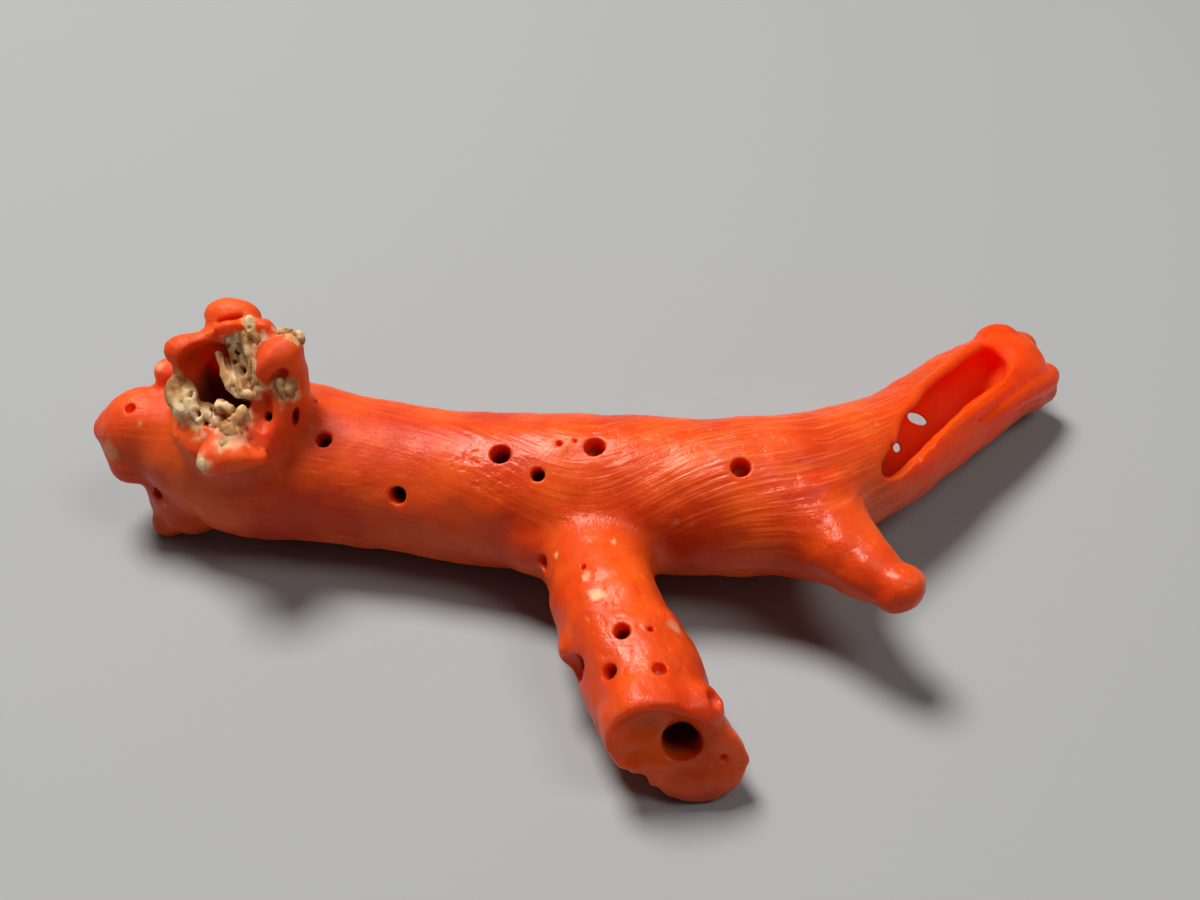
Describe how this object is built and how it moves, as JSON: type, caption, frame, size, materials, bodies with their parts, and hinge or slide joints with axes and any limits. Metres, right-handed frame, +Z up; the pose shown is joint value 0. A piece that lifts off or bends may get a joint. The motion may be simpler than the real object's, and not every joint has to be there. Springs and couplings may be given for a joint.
{
  "type": "red coral branch",
  "caption": "Short broken branch of red coral with tapering limbs, sponge-bored holes, a hollow open limb and a crusted, cup-shaped stump.",
  "frame": {"origin": "middle of the bounding box in X and Y, on the surface that the coral lies on", "axes": "+X along the trunk from the lumpy end towards the hollow branch, +Y away from the front branch, +Z up"},
  "size_m": [0.0428, 0.0242, 0.0108],
  "materials": {
    "red_coral": "waxy orange-red, smooth and half glossy, with fine grooves along the growth",
    "cream_crust": "dull, spongy cream lime crust"
  },
  "bodies": {
    "root": {"trunk": "red_coral", "end_lobe": "red_coral", "crusted_branch": "red_coral", "front_branch": "red_coral", "short_branch": "red_coral", "hollow_branch": "red_coral", "crust": "cream_crust"}
  },
  "joints": []
}
